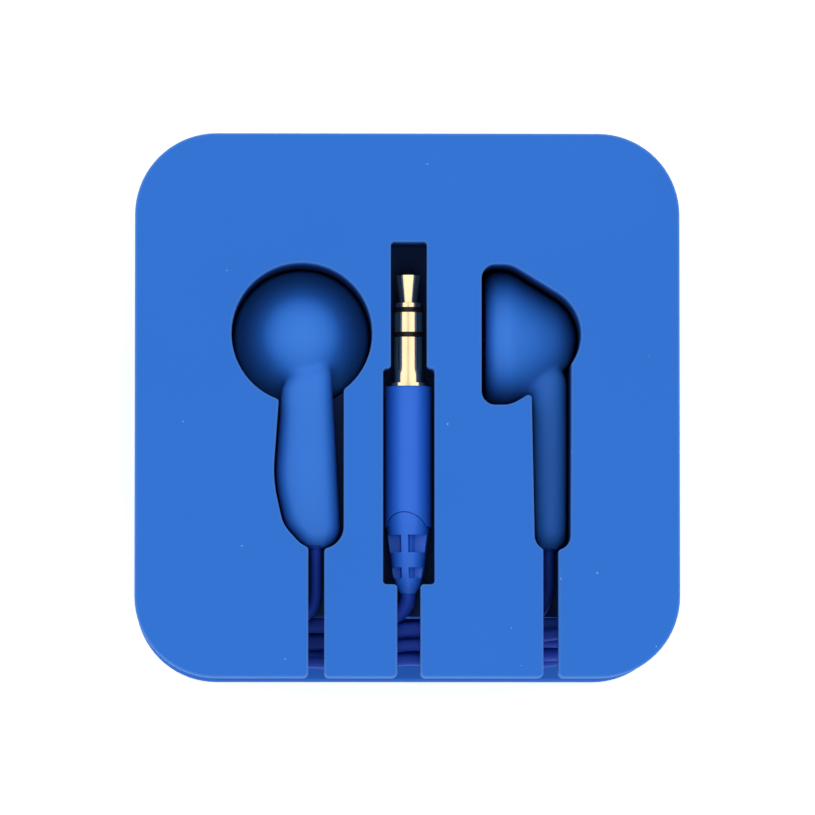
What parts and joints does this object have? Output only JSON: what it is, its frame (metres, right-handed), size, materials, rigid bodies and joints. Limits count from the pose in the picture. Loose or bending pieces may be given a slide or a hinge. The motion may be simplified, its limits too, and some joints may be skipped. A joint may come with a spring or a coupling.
{
  "type": "wired earphones",
  "caption": "Wired earphones stored in a square silicone winder: earbuds and a straight jack plug lie in pockets in its front, and the cord is wound in its side groove.",
  "frame": {"origin": "middle of the winder's back face, which lies on the table", "axes": "+Z out of the winder's front face, towards the open pockets; +Y from the cord slots towards the plug's tip; +X towards the earbud that lies on its side"},
  "size_m": [0.0636, 0.0636, 0.02],
  "materials": {
    "blue_silicone": "matte, soft",
    "bud_plastic": "satin",
    "handle_plastic": "satin",
    "cord_sheath": "satin",
    "gold_plate": "polished gold plate",
    "black_insulator": "matte",
    "core_plastic": "matte",
    "driver_plastic": "matte",
    "clear_film": "glossy film",
    "copper_wire": "enamelled copper",
    "plated_steel": "zinc plated",
    "nickel_plate": "nickel plated",
    "screen_mesh": "fine woven mesh",
    "white_felt": "felt",
    "circuit_board": "lacquered"
  },
  "bodies": {
    "case": {"winder_case": "blue_silicone", "cord_winding": "cord_sheath", "y_split": "handle_plastic", "left_cord": "cord_sheath", "right_cord": "cord_sheath", "main_cord": "cord_sheath"},
    "left_bud": {"left_front_cap": "bud_plastic", "left_rear_shell": "bud_plastic", "left_stem_cover": "bud_plastic", "left_cord_bush": "cord_sheath", "left_grille_screen": "screen_mesh", "left_driver_frame": "driver_plastic", "left_diaphragm": "clear_film", "left_voice_coil": "copper_wire", "left_yoke": "plated_steel", "left_magnet": "nickel_plate", "left_pole_plate": "plated_steel", "left_terminal_board": "circuit_board", "left_damping_felt": "white_felt", "left_cord_stop": "cord_sheath", "left_lead_wires": "copper_wire"},
    "right_bud": {"right_front_cap": "bud_plastic", "right_rear_shell": "bud_plastic", "right_stem_cover": "bud_plastic", "right_cord_bush": "cord_sheath", "right_grille_screen": "screen_mesh", "right_driver_frame": "driver_plastic", "right_diaphragm": "clear_film", "right_voice_coil": "copper_wire", "right_yoke": "plated_steel", "right_magnet": "nickel_plate", "right_pole_plate": "plated_steel", "right_terminal_board": "circuit_board", "right_damping_felt": "white_felt", "right_cord_stop": "cord_sheath", "right_lead_wires": "copper_wire"},
    "plug": {"plug_tip": "gold_plate", "plug_tip_insulator": "black_insulator", "plug_ring": "gold_plate", "plug_ring_insulator": "black_insulator", "plug_sleeve": "gold_plate", "plug_core": "core_plastic", "plug_handle": "handle_plastic", "plug_boot": "handle_plastic", "plug_cord_tail": "cord_sheath"}
  },
  "joints": [
    {"name": "left_bud_lift", "type": "slide", "parent": "case", "child": "left_bud", "axis": [0, 0, 1], "range_m": [0, 0.013]},
    {"name": "right_bud_lift", "type": "slide", "parent": "case", "child": "right_bud", "axis": [0, 0, 1], "range_m": [0, 0.0185]},
    {"name": "plug_lift", "type": "slide", "parent": "case", "child": "plug", "axis": [0, 0, 1], "range_m": [0, 0.008]}
  ]
}
